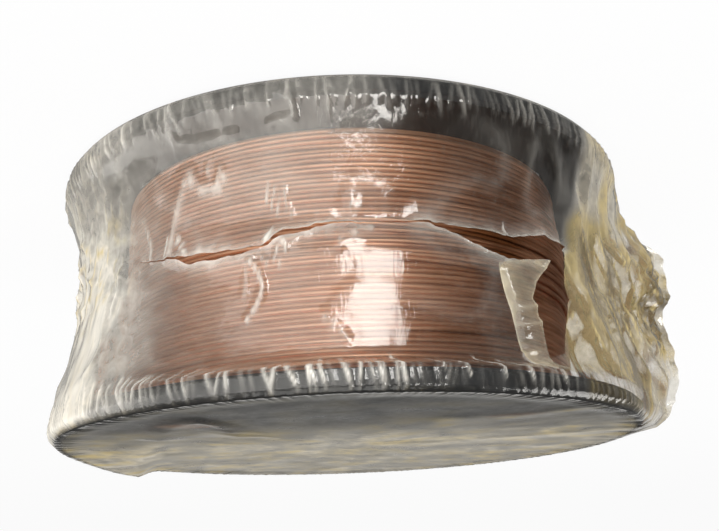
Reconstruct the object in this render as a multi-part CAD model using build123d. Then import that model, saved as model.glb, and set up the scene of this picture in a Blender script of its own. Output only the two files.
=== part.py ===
from build123d import *

import os

# A small spool of copper-coated welding wire, standing on one flange, in its torn shrink film.
# Millimetres. The spool's axis is +Z, the origin is on the floor under the middle of the bore,
# and the film's gathered end points to -X.

# Spool, one moulding: two flanges, a barrel, a hub and the ribs between them
FLANGE_DIAMETER = 100.0
SPOOL_WIDTH = 44.5
FLANGE_WALL = 2.0
RIM_WIDTH = 2.6
RIM_HEIGHT = 3.0
RIM_CHAMFER = 0.6
FIELD_STEP = 0.6
BARREL_DIAMETER = 42.0
BARREL_WALL = 2.0
ROOT_CHAMFER = 0.8
BORE_DIAMETER = 16.5
HUB_WALL = 3.2
RIB_COUNT = 6
RIB_WALL = 1.6
RIB_SETBACK = 2.5
WINDOW_COUNT = 3
WINDOW_DIAMETER = 17.0
WINDOW_CIRCLE_DIAMETER = 61.0
WINDOW_TURN = -32.0
WIRE_HOLE_DIAMETER = 2.4

# Wire, wound between the flanges
COIL_DIAMETER = 78.6
COIL_EDGE_CHAMFER = 0.8
BARREL_CLEARANCE = 0.15

# Film, shrunk over the rims, drawn in between them and gathered at one end
FILM_THICKNESS = 0.25
FILM_CLEARANCE = 0.2
FILM_WAIST_HEIGHT = 15.0
FILM_WAIST_share = 0.54
TAIL_REACH = 10.5
TAIL_ROOT_WIDTH = 30.0
TAIL_ROOT_HEIGHT = 34.0
TAIL_EDGE_WIDTH = 3.0
TAIL_EDGE_HEIGHT = 33.0
TAIL_EDGE_RISE = 3.5

# Tear in the film's near side: a narrow slit that opens into a mouth
TEAR_REACH = 36.0
TEAR_TIP_DROP = 6.0
TEAR_CREST_OFFSET = 17.0
TEAR_NECK_OFFSET = 13.0
TEAR_NECK_DROP = 3.4
TEAR_SLIT = 1.0
TEAR_MOUTH = 4.4
TEAR_MOUTH_RISE = 0.8

# How far a cut runs past the wall that it goes through
OVERRUN = 1.0

flange_radius = FLANGE_DIAMETER / 2
barrel_radius = BARREL_DIAMETER / 2
hub_radius = BORE_DIAMETER / 2 + HUB_WALL
spool_bottom = FILM_THICKNESS
spool_top = spool_bottom + SPOOL_WIDTH
mid_height = (spool_bottom + spool_top) / 2
plate_inside = FIELD_STEP + FLANGE_WALL
winding_bottom = spool_bottom + plate_inside
winding_top = spool_top - plate_inside


def turned(outline):
    """Turn a closed (radius, height) outline about the spool's axis."""
    return revolve(Plane.XZ * make_face(outline), Axis.Z)


def tube(outer_radius, inner_radius, bottom, top):
    """Upright round tube between two heights."""
    return turned(Polyline(
        (inner_radius, bottom), (outer_radius, bottom), (outer_radius, top), (inner_radius, top), close=True,
    ).edges())


def upright_rod(radius, bottom, top):
    """Upright round rod on the spool's axis between two heights."""
    return Pos(0, 0, bottom) * Cylinder(radius, top - bottom, align=(Align.CENTER, Align.CENTER, Align.MIN))


def circles_by_size(solid):
    """A turned solid's circular edges, smallest first."""
    return solid.edges().filter_by(GeomType.CIRCLE).sort_by(SortBy.RADIUS)


def make_flange():
    """Lower flange with its rim bead, the step to its field and half of the barrel on it."""
    field_radius = flange_radius - RIM_WIDTH
    barrel_inside = barrel_radius - BARREL_WALL
    outline = Polyline(
        (barrel_inside, FIELD_STEP),
        (field_radius, FIELD_STEP),
        (field_radius, 0),
        (flange_radius, 0),
        (flange_radius, RIM_HEIGHT),
        (field_radius, RIM_HEIGHT),
        (field_radius, plate_inside),
        (barrel_radius, plate_inside),
        (barrel_radius, SPOOL_WIDTH / 2),
        (barrel_inside, SPOOL_WIDTH / 2),
        close=True,
    )
    section = Plane.XZ * make_face(outline.edges())
    rim_corners = section.vertices().filter_by_position(Axis.X, flange_radius, flange_radius)
    section = chamfer(rim_corners, RIM_CHAMFER)
    root = section.vertices().sort_by_distance((barrel_radius, 0, plate_inside))[0]
    section = chamfer(root, ROOT_CHAMFER)
    return revolve(section, Axis.Z)


def make_flange_cuts():
    """Round windows in one flange, and the hole beside the barrel that the wire's start goes through."""
    reach = RIM_HEIGHT + OVERRUN
    window = upright_rod(WINDOW_DIAMETER / 2, -OVERRUN, reach)
    windows = Rot(0, 0, WINDOW_TURN) * PolarLocations(WINDOW_CIRCLE_DIAMETER / 2, WINDOW_COUNT)
    wire_hole_radius = barrel_radius + ROOT_CHAMFER + WIRE_HOLE_DIAMETER / 2
    wire_hole_turn = WINDOW_TURN + 180 / WINDOW_COUNT
    wire_hole = Rot(0, 0, wire_hole_turn) * Pos(wire_hole_radius, 0, 0) * upright_rod(
        WIRE_HOLE_DIAMETER / 2, -OVERRUN, reach)
    return [place * window for place in windows] + [wire_hole]


def make_hub():
    """Hub tube round the bore, with the ribs that carry it in the barrel."""
    rib_length = barrel_radius - BARREL_WALL / 2 - BORE_DIAMETER / 2 - HUB_WALL / 2
    rib_middle = BORE_DIAMETER / 2 + HUB_WALL / 2 + rib_length / 2
    rib = Pos(0, 0, SPOOL_WIDTH / 2) * Box(rib_length, RIB_WALL, SPOOL_WIDTH - 2 * RIB_SETBACK)
    hub = tube(hub_radius, BORE_DIAMETER / 2, 0, SPOOL_WIDTH)
    return hub + [place * rib for place in PolarLocations(rib_middle, RIB_COUNT)]


def make_spool():
    """Whole spool: one flange, the same mirrored, and the hub."""
    flange = make_flange() - make_flange_cuts()
    upper_flange = mirror(flange, Plane.XY.offset(SPOOL_WIDTH / 2))
    return Pos(0, 0, spool_bottom) * (flange + upper_flange + make_hub())


def make_wire_coil():
    """The winding as one turned solid with its bore, eased at its outer corners."""
    coil = tube(COIL_DIAMETER / 2, barrel_radius + BARREL_CLEARANCE, winding_bottom, winding_top)
    coil = chamfer(circles_by_size(coil)[:2], ROOT_CHAMFER)
    return chamfer(circles_by_size(coil)[-2:], COIL_EDGE_CHAMFER)


def film_body(radius, waist_radius, bottom, top, rim_height):
    """Solid inside one face of the film: a disc at each rim and a waist drawn in between them."""
    return turned(Polyline(
        (0, bottom),
        (radius, bottom),
        (radius, bottom + rim_height),
        (waist_radius, mid_height - FILM_WAIST_HEIGHT / 2),
        (waist_radius, mid_height + FILM_WAIST_HEIGHT / 2),
        (radius, top - rim_height),
        (radius, top),
        (0, top),
        close=True,
    ).edges())


def make_tail():
    """Gathered end of the film: a wedge that thins from the waist to its crumpled edge."""
    tail_root = Plane(origin=(0, 0, mid_height), x_dir=(0, -1, 0), z_dir=(-1, 0, 0))
    tail_edge = tail_root.offset(flange_radius + TAIL_REACH)
    root = tail_root.offset(barrel_radius) * Rectangle(TAIL_ROOT_WIDTH, TAIL_ROOT_HEIGHT)
    edge = tail_edge * Pos(0, TAIL_EDGE_RISE) * Rectangle(TAIL_EDGE_WIDTH, TAIL_EDGE_HEIGHT)
    return loft([root, edge])


def make_tear():
    """Cutter for the tear: its outline seen from the near side, run through that side of the film."""
    tip_height = mid_height - TEAR_TIP_DROP
    neck_height = mid_height - TEAR_NECK_DROP
    mouth_middle = -(TEAR_NECK_OFFSET + TEAR_REACH) / 2
    mouth_top = mid_height + TEAR_MOUTH_RISE
    far_tip = (TEAR_REACH, tip_height)
    mouth_tip = (-TEAR_REACH, tip_height)
    upper_neck = (-TEAR_NECK_OFFSET, neck_height + TEAR_SLIT / 2)
    lower_neck = (-TEAR_NECK_OFFSET, neck_height - TEAR_SLIT / 2)
    outline = [
        ThreePointArc(far_tip, (TEAR_CREST_OFFSET, mid_height + TEAR_SLIT / 2), upper_neck),
        ThreePointArc(upper_neck, (mouth_middle, mouth_top), mouth_tip),
        ThreePointArc(mouth_tip, (mouth_middle, mouth_top - TEAR_MOUTH), lower_neck),
        ThreePointArc(lower_neck, (TEAR_CREST_OFFSET, mid_height - TEAR_SLIT / 2), far_tip),
    ]
    return extrude(Plane.XZ * make_face(outline), flange_radius + OVERRUN)


def make_shrink_film():
    """Film as a thin closed skin round the spool, with its gathered end and its tear."""
    inner_radius = flange_radius + FILM_CLEARANCE
    coil_radius = COIL_DIAMETER / 2
    inner_waist = coil_radius + FILM_WAIST_share * (inner_radius - coil_radius)
    rim_height = RIM_HEIGHT + FILM_CLEARANCE
    inside = film_body(inner_radius, inner_waist, spool_bottom, spool_top, rim_height)
    outside = film_body(
        inner_radius + FILM_THICKNESS,
        inner_waist + FILM_THICKNESS,
        spool_bottom - FILM_THICKNESS,
        spool_top + FILM_THICKNESS,
        rim_height + FILM_THICKNESS,
    )
    return outside + make_tail() - inside - make_tear()


os.makedirs("parts", exist_ok=True)
export_step(make_spool(), "parts/spool.step")
export_step(make_wire_coil(), "parts/wire_coil.step")
export_step(make_shrink_film(), "parts/shrink_film.step")
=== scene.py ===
"""Looks of a small spool of copper-coated welding wire in its torn shrink film.

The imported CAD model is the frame. The black spool keeps its CAD mesh and gets a plastic finish, the winding
gets its turns of wire, and the film becomes a thin wrinkled skin with a tear on its near side.

Lengths are in millimetres until a mesh or a lamp is made. A place on the film's wall is (turn, height):
degrees round the axis from the near side (-Y) towards +X, and millimetres above the floor.
"""
import logging
import math
from dataclasses import dataclass, field
from enum import Enum
from typing import Any, Sequence, Union

import bpy
import numpy as np
from mathutils import Matrix, Vector


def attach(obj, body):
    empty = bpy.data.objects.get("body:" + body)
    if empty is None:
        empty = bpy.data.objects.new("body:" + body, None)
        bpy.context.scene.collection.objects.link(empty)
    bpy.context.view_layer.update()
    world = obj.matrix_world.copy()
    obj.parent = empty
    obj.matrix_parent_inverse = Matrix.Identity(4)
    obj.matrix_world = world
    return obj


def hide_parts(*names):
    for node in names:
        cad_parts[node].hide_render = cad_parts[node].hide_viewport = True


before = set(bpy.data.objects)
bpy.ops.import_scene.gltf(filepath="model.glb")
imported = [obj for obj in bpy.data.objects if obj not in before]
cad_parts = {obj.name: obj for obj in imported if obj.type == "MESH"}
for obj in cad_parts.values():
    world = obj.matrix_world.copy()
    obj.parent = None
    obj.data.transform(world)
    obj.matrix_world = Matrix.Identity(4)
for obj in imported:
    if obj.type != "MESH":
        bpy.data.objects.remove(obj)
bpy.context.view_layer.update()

LOG = logging.getLogger("welding_wire")

MM = 0.001
IMAGE_WIDTH = 719
WALL_HEIGHT = 45.0
WHITE = (1.0, 1.0, 1.0, 1.0)

Array = np.ndarray
Level = Union[np.ndarray, float]
Path = tuple[tuple[float, float], ...]
Window = tuple[float, float, float, float]
Colour = tuple[float, float, float, float]
Number = Union["Value", float]
Settings = dict[str, Any]
Sockets = dict[Union[str, int], Any]


class Slot(Enum):
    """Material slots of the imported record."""

    WIRE = "copper_coated_wire"
    FILM = "clear_film"


class Node(Enum):
    """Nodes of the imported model."""

    SPOOL = "spool"
    COIL = "wire_coil"
    FILM = "shrink_film"


class Look(Enum):
    """Looks of the film that are kept point by point, as mesh attributes."""

    # The haze also holds painted highlights and painted reflections in places.
    HAZE = "haze"
    STAIN = "stain"
    DULL = "dull"


class Rim(Enum):
    """Rims that the film is gathered over: the gathers' seed, height and the way they fade (1 is up)."""

    LOWER = (44, 3.4, 1.0)
    UPPER = (45, 41.6, -1.0)


def ease(share: Array) -> Array:
    """Smooth step of a share from 0 to 1."""
    share = np.clip(share, 0.0, 1.0)
    return share * share * (3.0 - 2.0 * share)


def ramp(place: Array, start: float, end: float) -> Array:
    """Smooth way from 0 at the start to 1 at the end, which may lie on either side of it."""
    return ease((place - start) / (end - start))


def plateau(place: Array, window: Window) -> Array:
    """Smooth window over a place.

    Args:
        place: where the window is read.
        window: the last place at 0, the first and the last at 1, and the first at 0 again.

    Returns:
        The window's height at each place.
    """
    start, full, fade, end = window
    return ramp(place, start, full) * ramp(place, end, fade)


def bell(offset: Array, width: Level) -> Array:
    """Round hump, 1 where the offset is 0 and about a third where it is the width."""
    return np.exp(-((offset / width) ** 2))


def wave(turns: Array) -> Array:
    """Even wave from 0 to 1, with its crests at whole numbers of turns."""
    return 0.5 + 0.5 * np.cos(2.0 * math.pi * turns)


def turn_gap(turn: Array, other: Level) -> Array:
    """Degrees from another turn to this one by the shorter way round."""
    return np.mod(turn - other + 180.0, 360.0) - 180.0


def around(turn: Array, reach: Array, height: Array) -> Array:
    """Points round the axis.

    Args:
        turn: degrees from the near side towards +X.
        reach: distances from the axis.
        height: heights above the floor.

    Returns:
        The points, with x, y and z along a new last dimension.
    """
    angle = np.radians(turn)
    return np.stack([reach * np.sin(angle), -reach * np.cos(angle), height], -1)


def grid_quads(numbers: Array) -> Array:
    """Corner numbers of each cell of a grid, from its own corner on to the next row first."""
    return np.stack([numbers[:-1, :-1], numbers[1:, :-1], numbers[1:, 1:], numbers[:-1, 1:]], -1)


def along(places: Array, path: Path) -> Array:
    """Straight-run interpolation of a (place, value) path, in either direction of travel.

    Args:
        places: where the path is read.
        path: its corners.

    Returns:
        The path's value at each place.
    """
    corners = sorted(path)
    return np.interp(places, [p[0] for p in corners], [p[1] for p in corners])


def line_distance(across: Array, up: Array, path: Array) -> Array:
    """Distance from points to a line of straight runs.

    Args:
        across: the points' first coordinate.
        up: the points' second coordinate.
        path: the line's corners, one per row.

    Returns:
        The distance of each point from the nearest run.
    """
    nearest = np.full(np.shape(across), np.inf)
    for (start_x, start_y), (end_x, end_y) in zip(path[:-1], path[1:]):
        run_x, run_y = end_x - start_x, end_y - start_y
        share = ((across - start_x) * run_x + (up - start_y) * run_y) / (run_x ** 2 + run_y ** 2)
        share = np.clip(share, 0.0, 1.0)
        gap = np.hypot(across - start_x - share * run_x, up - start_y - share * run_y)
        nearest = np.minimum(nearest, gap)
    return nearest


class Wander:
    """Smooth repeatable noise on a lattice that closes on itself round the spool."""

    def __init__(self, seed: int, around_cells: int, rising_knots: int) -> None:
        """Draw the lattice.

        Args:
            seed: seed of the draw.
            around_cells: cells round the spool.
            rising_knots: knots from the lattice's foot to its head.
        """
        self.knots = np.random.default_rng(seed).uniform(-1.0, 1.0, (around_cells, rising_knots))

    def at(self, turn: Array, rise: Array) -> Array:
        """Noise from -1 to 1.

        Args:
            turn: degrees round the spool.
            rise: share of the lattice's height.

        Returns:
            The noise at each place.
        """
        cells, knots = self.knots.shape
        column = np.mod(turn / 360.0, 1.0) * cells
        row = np.clip(rise, 0.0, 1.0) * (knots - 1)
        left, low = np.floor(column).astype(int), np.minimum(np.floor(row).astype(int), knots - 2)
        across, up = ease(column - left), ease(row - low)
        left, right = left % cells, (left + 1) % cells
        foot = self.knots[left, low] * (1 - across) + self.knots[right, low] * across
        head = self.knots[left, low + 1] * (1 - across) + self.knots[right, low + 1] * across
        return foot * (1 - up) + head * up

    def crests(self, turn: Array, rise: Array) -> Array:
        """Sharp crests, 1 on each crest and 0 in the hollows, for a turn and a rise as in at()."""
        return (1.0 - np.abs(self.at(turn, rise))) ** 2


class Value:
    """A shader socket that takes part in arithmetic."""

    def __init__(self, tree: "Tree", socket: bpy.types.NodeSocket) -> None:
        """Wrap a socket of a tree."""
        self.tree, self.socket = tree, socket

    def maths(self, operation: str, first: Number, second: Number) -> "Value":
        """One Math node.

        Args:
            operation: the node's operation.
            first: its first value.
            second: its second value.

        Returns:
            The node's result.
        """
        return self.tree.value("ShaderNodeMath", {"operation": operation}, {0: first, 1: second})

    def __add__(self, other: Number) -> "Value":
        """Sum."""
        return self.maths("ADD", self, other)

    __radd__ = __add__

    def __sub__(self, other: Number) -> "Value":
        """Difference."""
        return self.maths("SUBTRACT", self, other)

    def __rsub__(self, other: Number) -> "Value":
        """Difference from a number."""
        return self.maths("SUBTRACT", other, self)

    def __mul__(self, other: Number) -> "Value":
        """Product."""
        return self.maths("MULTIPLY", self, other)

    __rmul__ = __mul__

    def between(self, low: float, high: float) -> "Value":
        """Smooth share of the way from low to high, from 0 to 1."""
        sockets = {"Value": self, "From Min": low, "From Max": high}
        return self.tree.value("ShaderNodeMapRange", {"interpolation_type": "SMOOTHSTEP"}, sockets)

    def clamped(self) -> "Value":
        """The value kept from 0 to 1."""
        return self.tree.value("ShaderNodeClamp", {}, {"Value": self})


class Tree:
    """A node tree that is built node by node."""

    def __init__(self, nodes: bpy.types.NodeTree) -> None:
        """Empty the tree for a new set of nodes."""
        self.nodes = nodes
        nodes.nodes.clear()

    def node(self, kind: str, settings: Settings, sockets: Sockets) -> bpy.types.Node:
        """Add one node.

        Args:
            kind: the node's type.
            settings: its settings, set first.
            sockets: values or links of its inputs, by name or number.

        Returns:
            The node.
        """
        node = self.nodes.nodes.new(kind)
        for name, setting in settings.items():
            setattr(node, name, setting)
        for name, given in sockets.items():
            if isinstance(given, Value):
                given = given.socket
            if isinstance(given, bpy.types.NodeSocket):
                self.nodes.links.new(given, node.inputs[name])
            else:
                node.inputs[name].default_value = given
        return node

    def value(self, kind: str, settings: Settings, sockets: Sockets) -> Value:
        """First output of a new node, as a value."""
        return Value(self, self.node(kind, settings, sockets).outputs[0])

    def attribute(self, look: Look) -> Value:
        """A look of the film, as a value."""
        node = self.node("ShaderNodeAttribute", {"attribute_name": look.value}, {})
        return Value(self, node.outputs["Fac"])

    def axis(self, place: bpy.types.NodeSocket, name: str) -> Value:
        """One coordinate of a place, X, Y or Z, as a value."""
        return Value(self, self.node("ShaderNodeSeparateXYZ", {}, {0: place}).outputs[name])

    def ray(self, kind: str) -> Value:
        """1 on rays of the given kind and 0 on others, as a value."""
        return Value(self, self.node("ShaderNodeLightPath", {}, {}).outputs[f"Is {kind} Ray"])

    def seen(self) -> Value:
        """1 where the camera looks, straight or through something clear, and 0 on other rays."""
        return (self.ray("Camera") + self.ray("Transmission")).clamped()

    def object_mm(self, stretch: tuple[float, float, float] = (1.0, 1.0, 1.0)) -> bpy.types.NodeSocket:
        """Object coordinates in millimetres.

        Args:
            stretch: how many times finer a pattern is along each axis.

        Returns:
            The coordinates' socket.
        """
        coordinates = self.node("ShaderNodeTexCoord", {}, {}).outputs["Object"]
        scale = Vector(stretch) / MM
        return self.node("ShaderNodeMapping", {}, {"Vector": coordinates, "Scale": scale}).outputs[0]

    def noise(
            self, place: bpy.types.NodeSocket, scale: float, detail: float = 3.0,
            distortion: float = 0.0) -> Value:
        """Noise texture.

        Args:
            place: coordinates in millimetres.
            scale: cells per millimetre.
            detail: octaves of finer noise.
            distortion: how far the noise is warped by itself.

        Returns:
            The noise, from 0 to 1.
        """
        sockets = {"Vector": place, "Scale": scale, "Detail": detail, "Distortion": distortion}
        return self.value("ShaderNodeTexNoise", {}, sockets)

    def blend(self, share: Number, first: Any, second: Any) -> bpy.types.NodeSocket:
        """Mix of two colours.

        Args:
            share: share of the second colour.
            first: colour or colour socket.
            second: colour or colour socket.

        Returns:
            The mixed colour's socket.
        """
        node = self.node("ShaderNodeMix", {"data_type": "RGBA"}, {0: share, 6: first, 7: second})
        return node.outputs[2]

    def bump(self, height: Value, strength: float, depth: float) -> bpy.types.NodeSocket:
        """Normal of a bumpy surface.

        Args:
            height: the bumps, from 0 to 1.
            strength: how strongly they show.
            depth: their depth in millimetres.

        Returns:
            The normal's socket.
        """
        sockets = {"Height": height, "Strength": strength, "Distance": depth * MM}
        return self.node("ShaderNodeBump", {}, sockets).outputs[0]

    def mix(self, share: Number, first: bpy.types.Node, second: bpy.types.Node) -> bpy.types.Node:
        """Mix of two shaders, with the given share of the second."""
        return self.node("ShaderNodeMixShader", {}, {0: share, 1: first.outputs[0], 2: second.outputs[0]})

    def close(self, kind: str, shader: bpy.types.Node) -> None:
        """Send a shader to the tree's output, a node of the given type."""
        self.node(kind, {}, {"Surface": shader.outputs[0]})


def new_material(name: str) -> tuple[bpy.types.Material, Tree]:
    """A new material and its empty tree."""
    material = bpy.data.materials.new(name)
    material.use_nodes = True
    return material, Tree(material.node_tree)


@dataclass(frozen=True)
class BlackPlastic:
    """Satin black moulding with a little grey dust and fine grain."""

    clean: Colour = (0.012, 0.0125, 0.014, 1.0)
    dusty: Colour = (0.05, 0.053, 0.058, 1.0)
    roughness: float = 0.45

    def material(self) -> bpy.types.Material:
        """The finish as a material."""
        material, tree = new_material("spool_plastic")
        place = tree.object_mm()
        dust = tree.noise(place, scale=0.11, detail=5.0, distortion=0.6).between(0.42, 0.72)
        grain = tree.noise(place, scale=2.6, detail=4.0)
        scuff = tree.noise(tree.object_mm((0.2, 0.2, 1.0)), scale=0.9, detail=4.0).between(0.5, 0.8)
        shader = tree.node("ShaderNodeBsdfPrincipled", {}, {
            "Base Color": tree.blend((0.75 * dust + 0.25 * scuff).clamped(), self.clean, self.dusty),
            "Roughness": self.roughness + 0.2 * dust + 0.08 * (grain - 0.5),
            "Normal": tree.bump(0.6 * grain + 0.4 * scuff, strength=0.25, depth=0.06),
        })
        tree.close("ShaderNodeOutputMaterial", shader)
        return material


@dataclass(frozen=True)
class CopperWire:
    """Bright drawn wire with a copper coat that is brown in streaks. It is browner towards -X, partly brown
    oxide and partly painted shade on the side away from the lamps, and lighter past -26 mm in x, as painted
    light on the bare turns in the notch.
    """

    bright: Colour = (0.97, 0.55, 0.345, 1.0)
    dark_brown: Colour = (0.29, 0.108, 0.036, 1.0)
    metallic: float = 0.76
    roughness: float = 0.38
    # The first span browns the coat towards -X, partly brown oxide and partly painted shade on the side away
    # from the lamps. The second span and its share take most of that brown off again past -26 mm in x:
    # painted light on the bare turns in the notch.
    shaded_side_brown_span: tuple[float, float] = (2.0, -22.0)
    painted_light_span: tuple[float, float] = (-26.0, -33.0)
    painted_light_share: float = 0.8

    def material(self) -> bpy.types.Material:
        """The finish as a material."""
        material, tree = new_material("copper_coat")
        streak = tree.noise(tree.object_mm((0.06, 0.06, 1.25)), scale=0.9, detail=4.0, distortion=0.3)
        streak = streak.between(0.36, 0.68)
        cloud = tree.noise(tree.object_mm(), scale=0.06).between(0.35, 0.75)
        draw_marks = tree.noise(tree.object_mm((0.5, 0.5, 6.0)), scale=1.4)
        sideways = tree.axis(tree.object_mm(), "X")
        # Painted light on the bare turns in the notch, and painted shade with oxide as browning towards -X.
        kept = self.painted_light_share * sideways.between(*self.painted_light_span)
        shaded_side_brown = sideways.between(*self.shaded_side_brown_span) * (1.0 - kept)
        brown_streaks_and_shade = (0.42 * streak + 0.16 * cloud + 0.2 * (draw_marks - 0.5) + 0.56 * shaded_side_brown).clamped()
        shader = tree.node("ShaderNodeBsdfPrincipled", {}, {
            "Base Color": tree.blend(brown_streaks_and_shade, self.bright, self.dark_brown),
            "Metallic": self.metallic,
            "Roughness": self.roughness + 0.16 * streak + 0.1 * draw_marks,
            "Normal": tree.bump(draw_marks, strength=0.2, depth=0.02),
        })
        tree.close("ShaderNodeOutputMaterial", shader)
        return material


@dataclass(frozen=True)
class ClearFilm:
    """Clear shrink film: glossy, milky where it is creased or gathered, with painted highlights and painted
    reflections laid on as milk in places, and yellowed at its gathered end.
    """

    tint: Colour = (0.975, 0.97, 0.95, 1.0)
    milk: Colour = (0.78, 0.74, 0.66, 1.0)
    yellowed: Colour = (0.65, 0.51, 0.23, 1.0)
    dirty: Colour = (0.17, 0.125, 0.06, 1.0)
    sheen: Colour = (1.0, 0.985, 0.95, 1.0)
    gloss_roughness: float = 0.06
    dull_roughness: float = 0.36
    refraction: float = 1.47
    two_sides: float = 1.7
    flat_veil: float = 5.0
    smoothed: float = 1.7
    gloss_lost: float = 0.8

    def material(self) -> bpy.types.Material:
        """The finish as a material."""
        material, tree = new_material("film_skin")
        place = tree.object_mm()
        cloud = tree.noise(place, scale=0.16, detail=4.0, distortion=0.5)
        speckle = tree.noise(place, scale=0.7, detail=4.0, distortion=0.6)
        ripple = tree.noise(tree.object_mm((1.0, 1.0, 0.45)), scale=0.55, detail=4.0, distortion=0.8)
        scratch = tree.noise(tree.object_mm((1.0, 1.0, 0.2)), scale=2.2, distortion=0.4)
        # The haze attribute also holds painted highlights and painted reflections.
        haze, stain, dull = (tree.attribute(look) for look in Look)
        stain = (stain * (0.35 + 0.7 * cloud + 0.6 * speckle)).clamped()
        bared = (1.0 - self.smoothed * dull).clamped()
        normal = tree.bump((0.75 * ripple + 0.25 * scratch) * bared, strength=0.35, depth=0.22)
        shine = tree.value("ShaderNodeFresnel", {}, {"IOR": self.refraction, "Normal": normal})
        shine = (self.two_sides * shine).clamped()
        mottle = 1.6 * cloud + speckle - 0.3
        haze = haze * mottle * (1.0 + self.flat_veil * shine)
        haze = (haze + 0.05 * scratch.between(0.5, 0.8)).clamped()
        aged = tree.blend(stain.between(0.0, 0.6), self.milk, self.yellowed)
        clear = tree.node("ShaderNodeBsdfTransparent", {}, {"Color": self.tint})
        milky = tree.node("ShaderNodeBsdfPrincipled", {}, {
            "Base Color": tree.blend(stain.between(0.55, 1.05), aged, self.dirty),
            "Roughness": 0.5 + 0.2 * cloud,
            "Specular IOR Level": 0.0,
            "Normal": normal,
        })
        gloss = tree.node("ShaderNodeBsdfAnisotropic", {}, {
            "Color": self.sheen,
            "Roughness": self.gloss_roughness + 0.1 * cloud + self.dull_roughness * dull,
            "Normal": normal,
        })
        glossy = (shine * (1.0 - self.gloss_lost * dull * mottle)).clamped()
        tree.close("ShaderNodeOutputMaterial", tree.mix(glossy, tree.mix(haze, clear, milky), gloss))
        return material


@dataclass(frozen=True)
class PaleFloor:
    """Plain white ground that keeps a faint shadow."""

    colour: Colour = (0.86, 0.86, 0.86, 1.0)
    white_share: float = 0.93
    mirrored: float = 0.25

    def material(self) -> bpy.types.Material:
        """The finish as a material."""
        material, tree = new_material("pale_ground")
        mottle = tree.noise(tree.object_mm(), scale=0.02, detail=2.0)
        matt = tree.node("ShaderNodeBsdfPrincipled", {}, {
            "Base Color": self.colour,
            "Roughness": 0.85 + 0.1 * mottle,
            "Specular IOR Level": 0.1,
        })
        white = tree.node("ShaderNodeEmission", {}, {"Color": WHITE, "Strength": 1.0})
        grey = tree.node("ShaderNodeEmission", {}, {"Color": WHITE, "Strength": self.mirrored})
        ground = tree.mix(self.white_share * tree.seen(), matt, white)
        tree.close("ShaderNodeOutputMaterial", tree.mix(tree.ray("Glossy"), ground, grey))
        return material


def mesh_piece(name: str, points: Array, faces: Sequence[Sequence[int]]) -> bpy.types.Object:
    """A smooth-shaded piece at the origin, from points in millimetres.

    Args:
        name: the piece's name.
        points: one point per row.
        faces: corner numbers of each face, seen from outside.

    Returns:
        The piece, linked to the scene.
    """
    mesh = bpy.data.meshes.new(name)
    mesh.from_pydata((points * MM).tolist(), [], faces)
    mesh.shade_smooth()
    mesh.update()
    piece = bpy.data.objects.new(name, mesh)
    bpy.context.scene.collection.objects.link(piece)
    return piece


def dress(piece: bpy.types.Object, material: bpy.types.Material, node: Node) -> None:
    """Give a piece its material and body, and hide the CAD node that it stands for.

    Args:
        piece: the new piece.
        material: its finish.
        node: the CAD node that it replaces.
    """
    piece.data.materials.clear()
    piece.data.materials.append(material)
    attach(piece, "root")
    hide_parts(node.value)


@dataclass
class Spool:
    """The black moulding, whose CAD mesh stays."""

    finish: BlackPlastic = field(default_factory=BlackPlastic)

    def build(self) -> bpy.types.Object:
        """Give the CAD mesh its plastic finish, and return it."""
        spool = bpy.data.objects[Node.SPOOL.value]
        spool.data.materials.clear()
        spool.data.materials.append(self.finish.material())
        return spool


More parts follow.
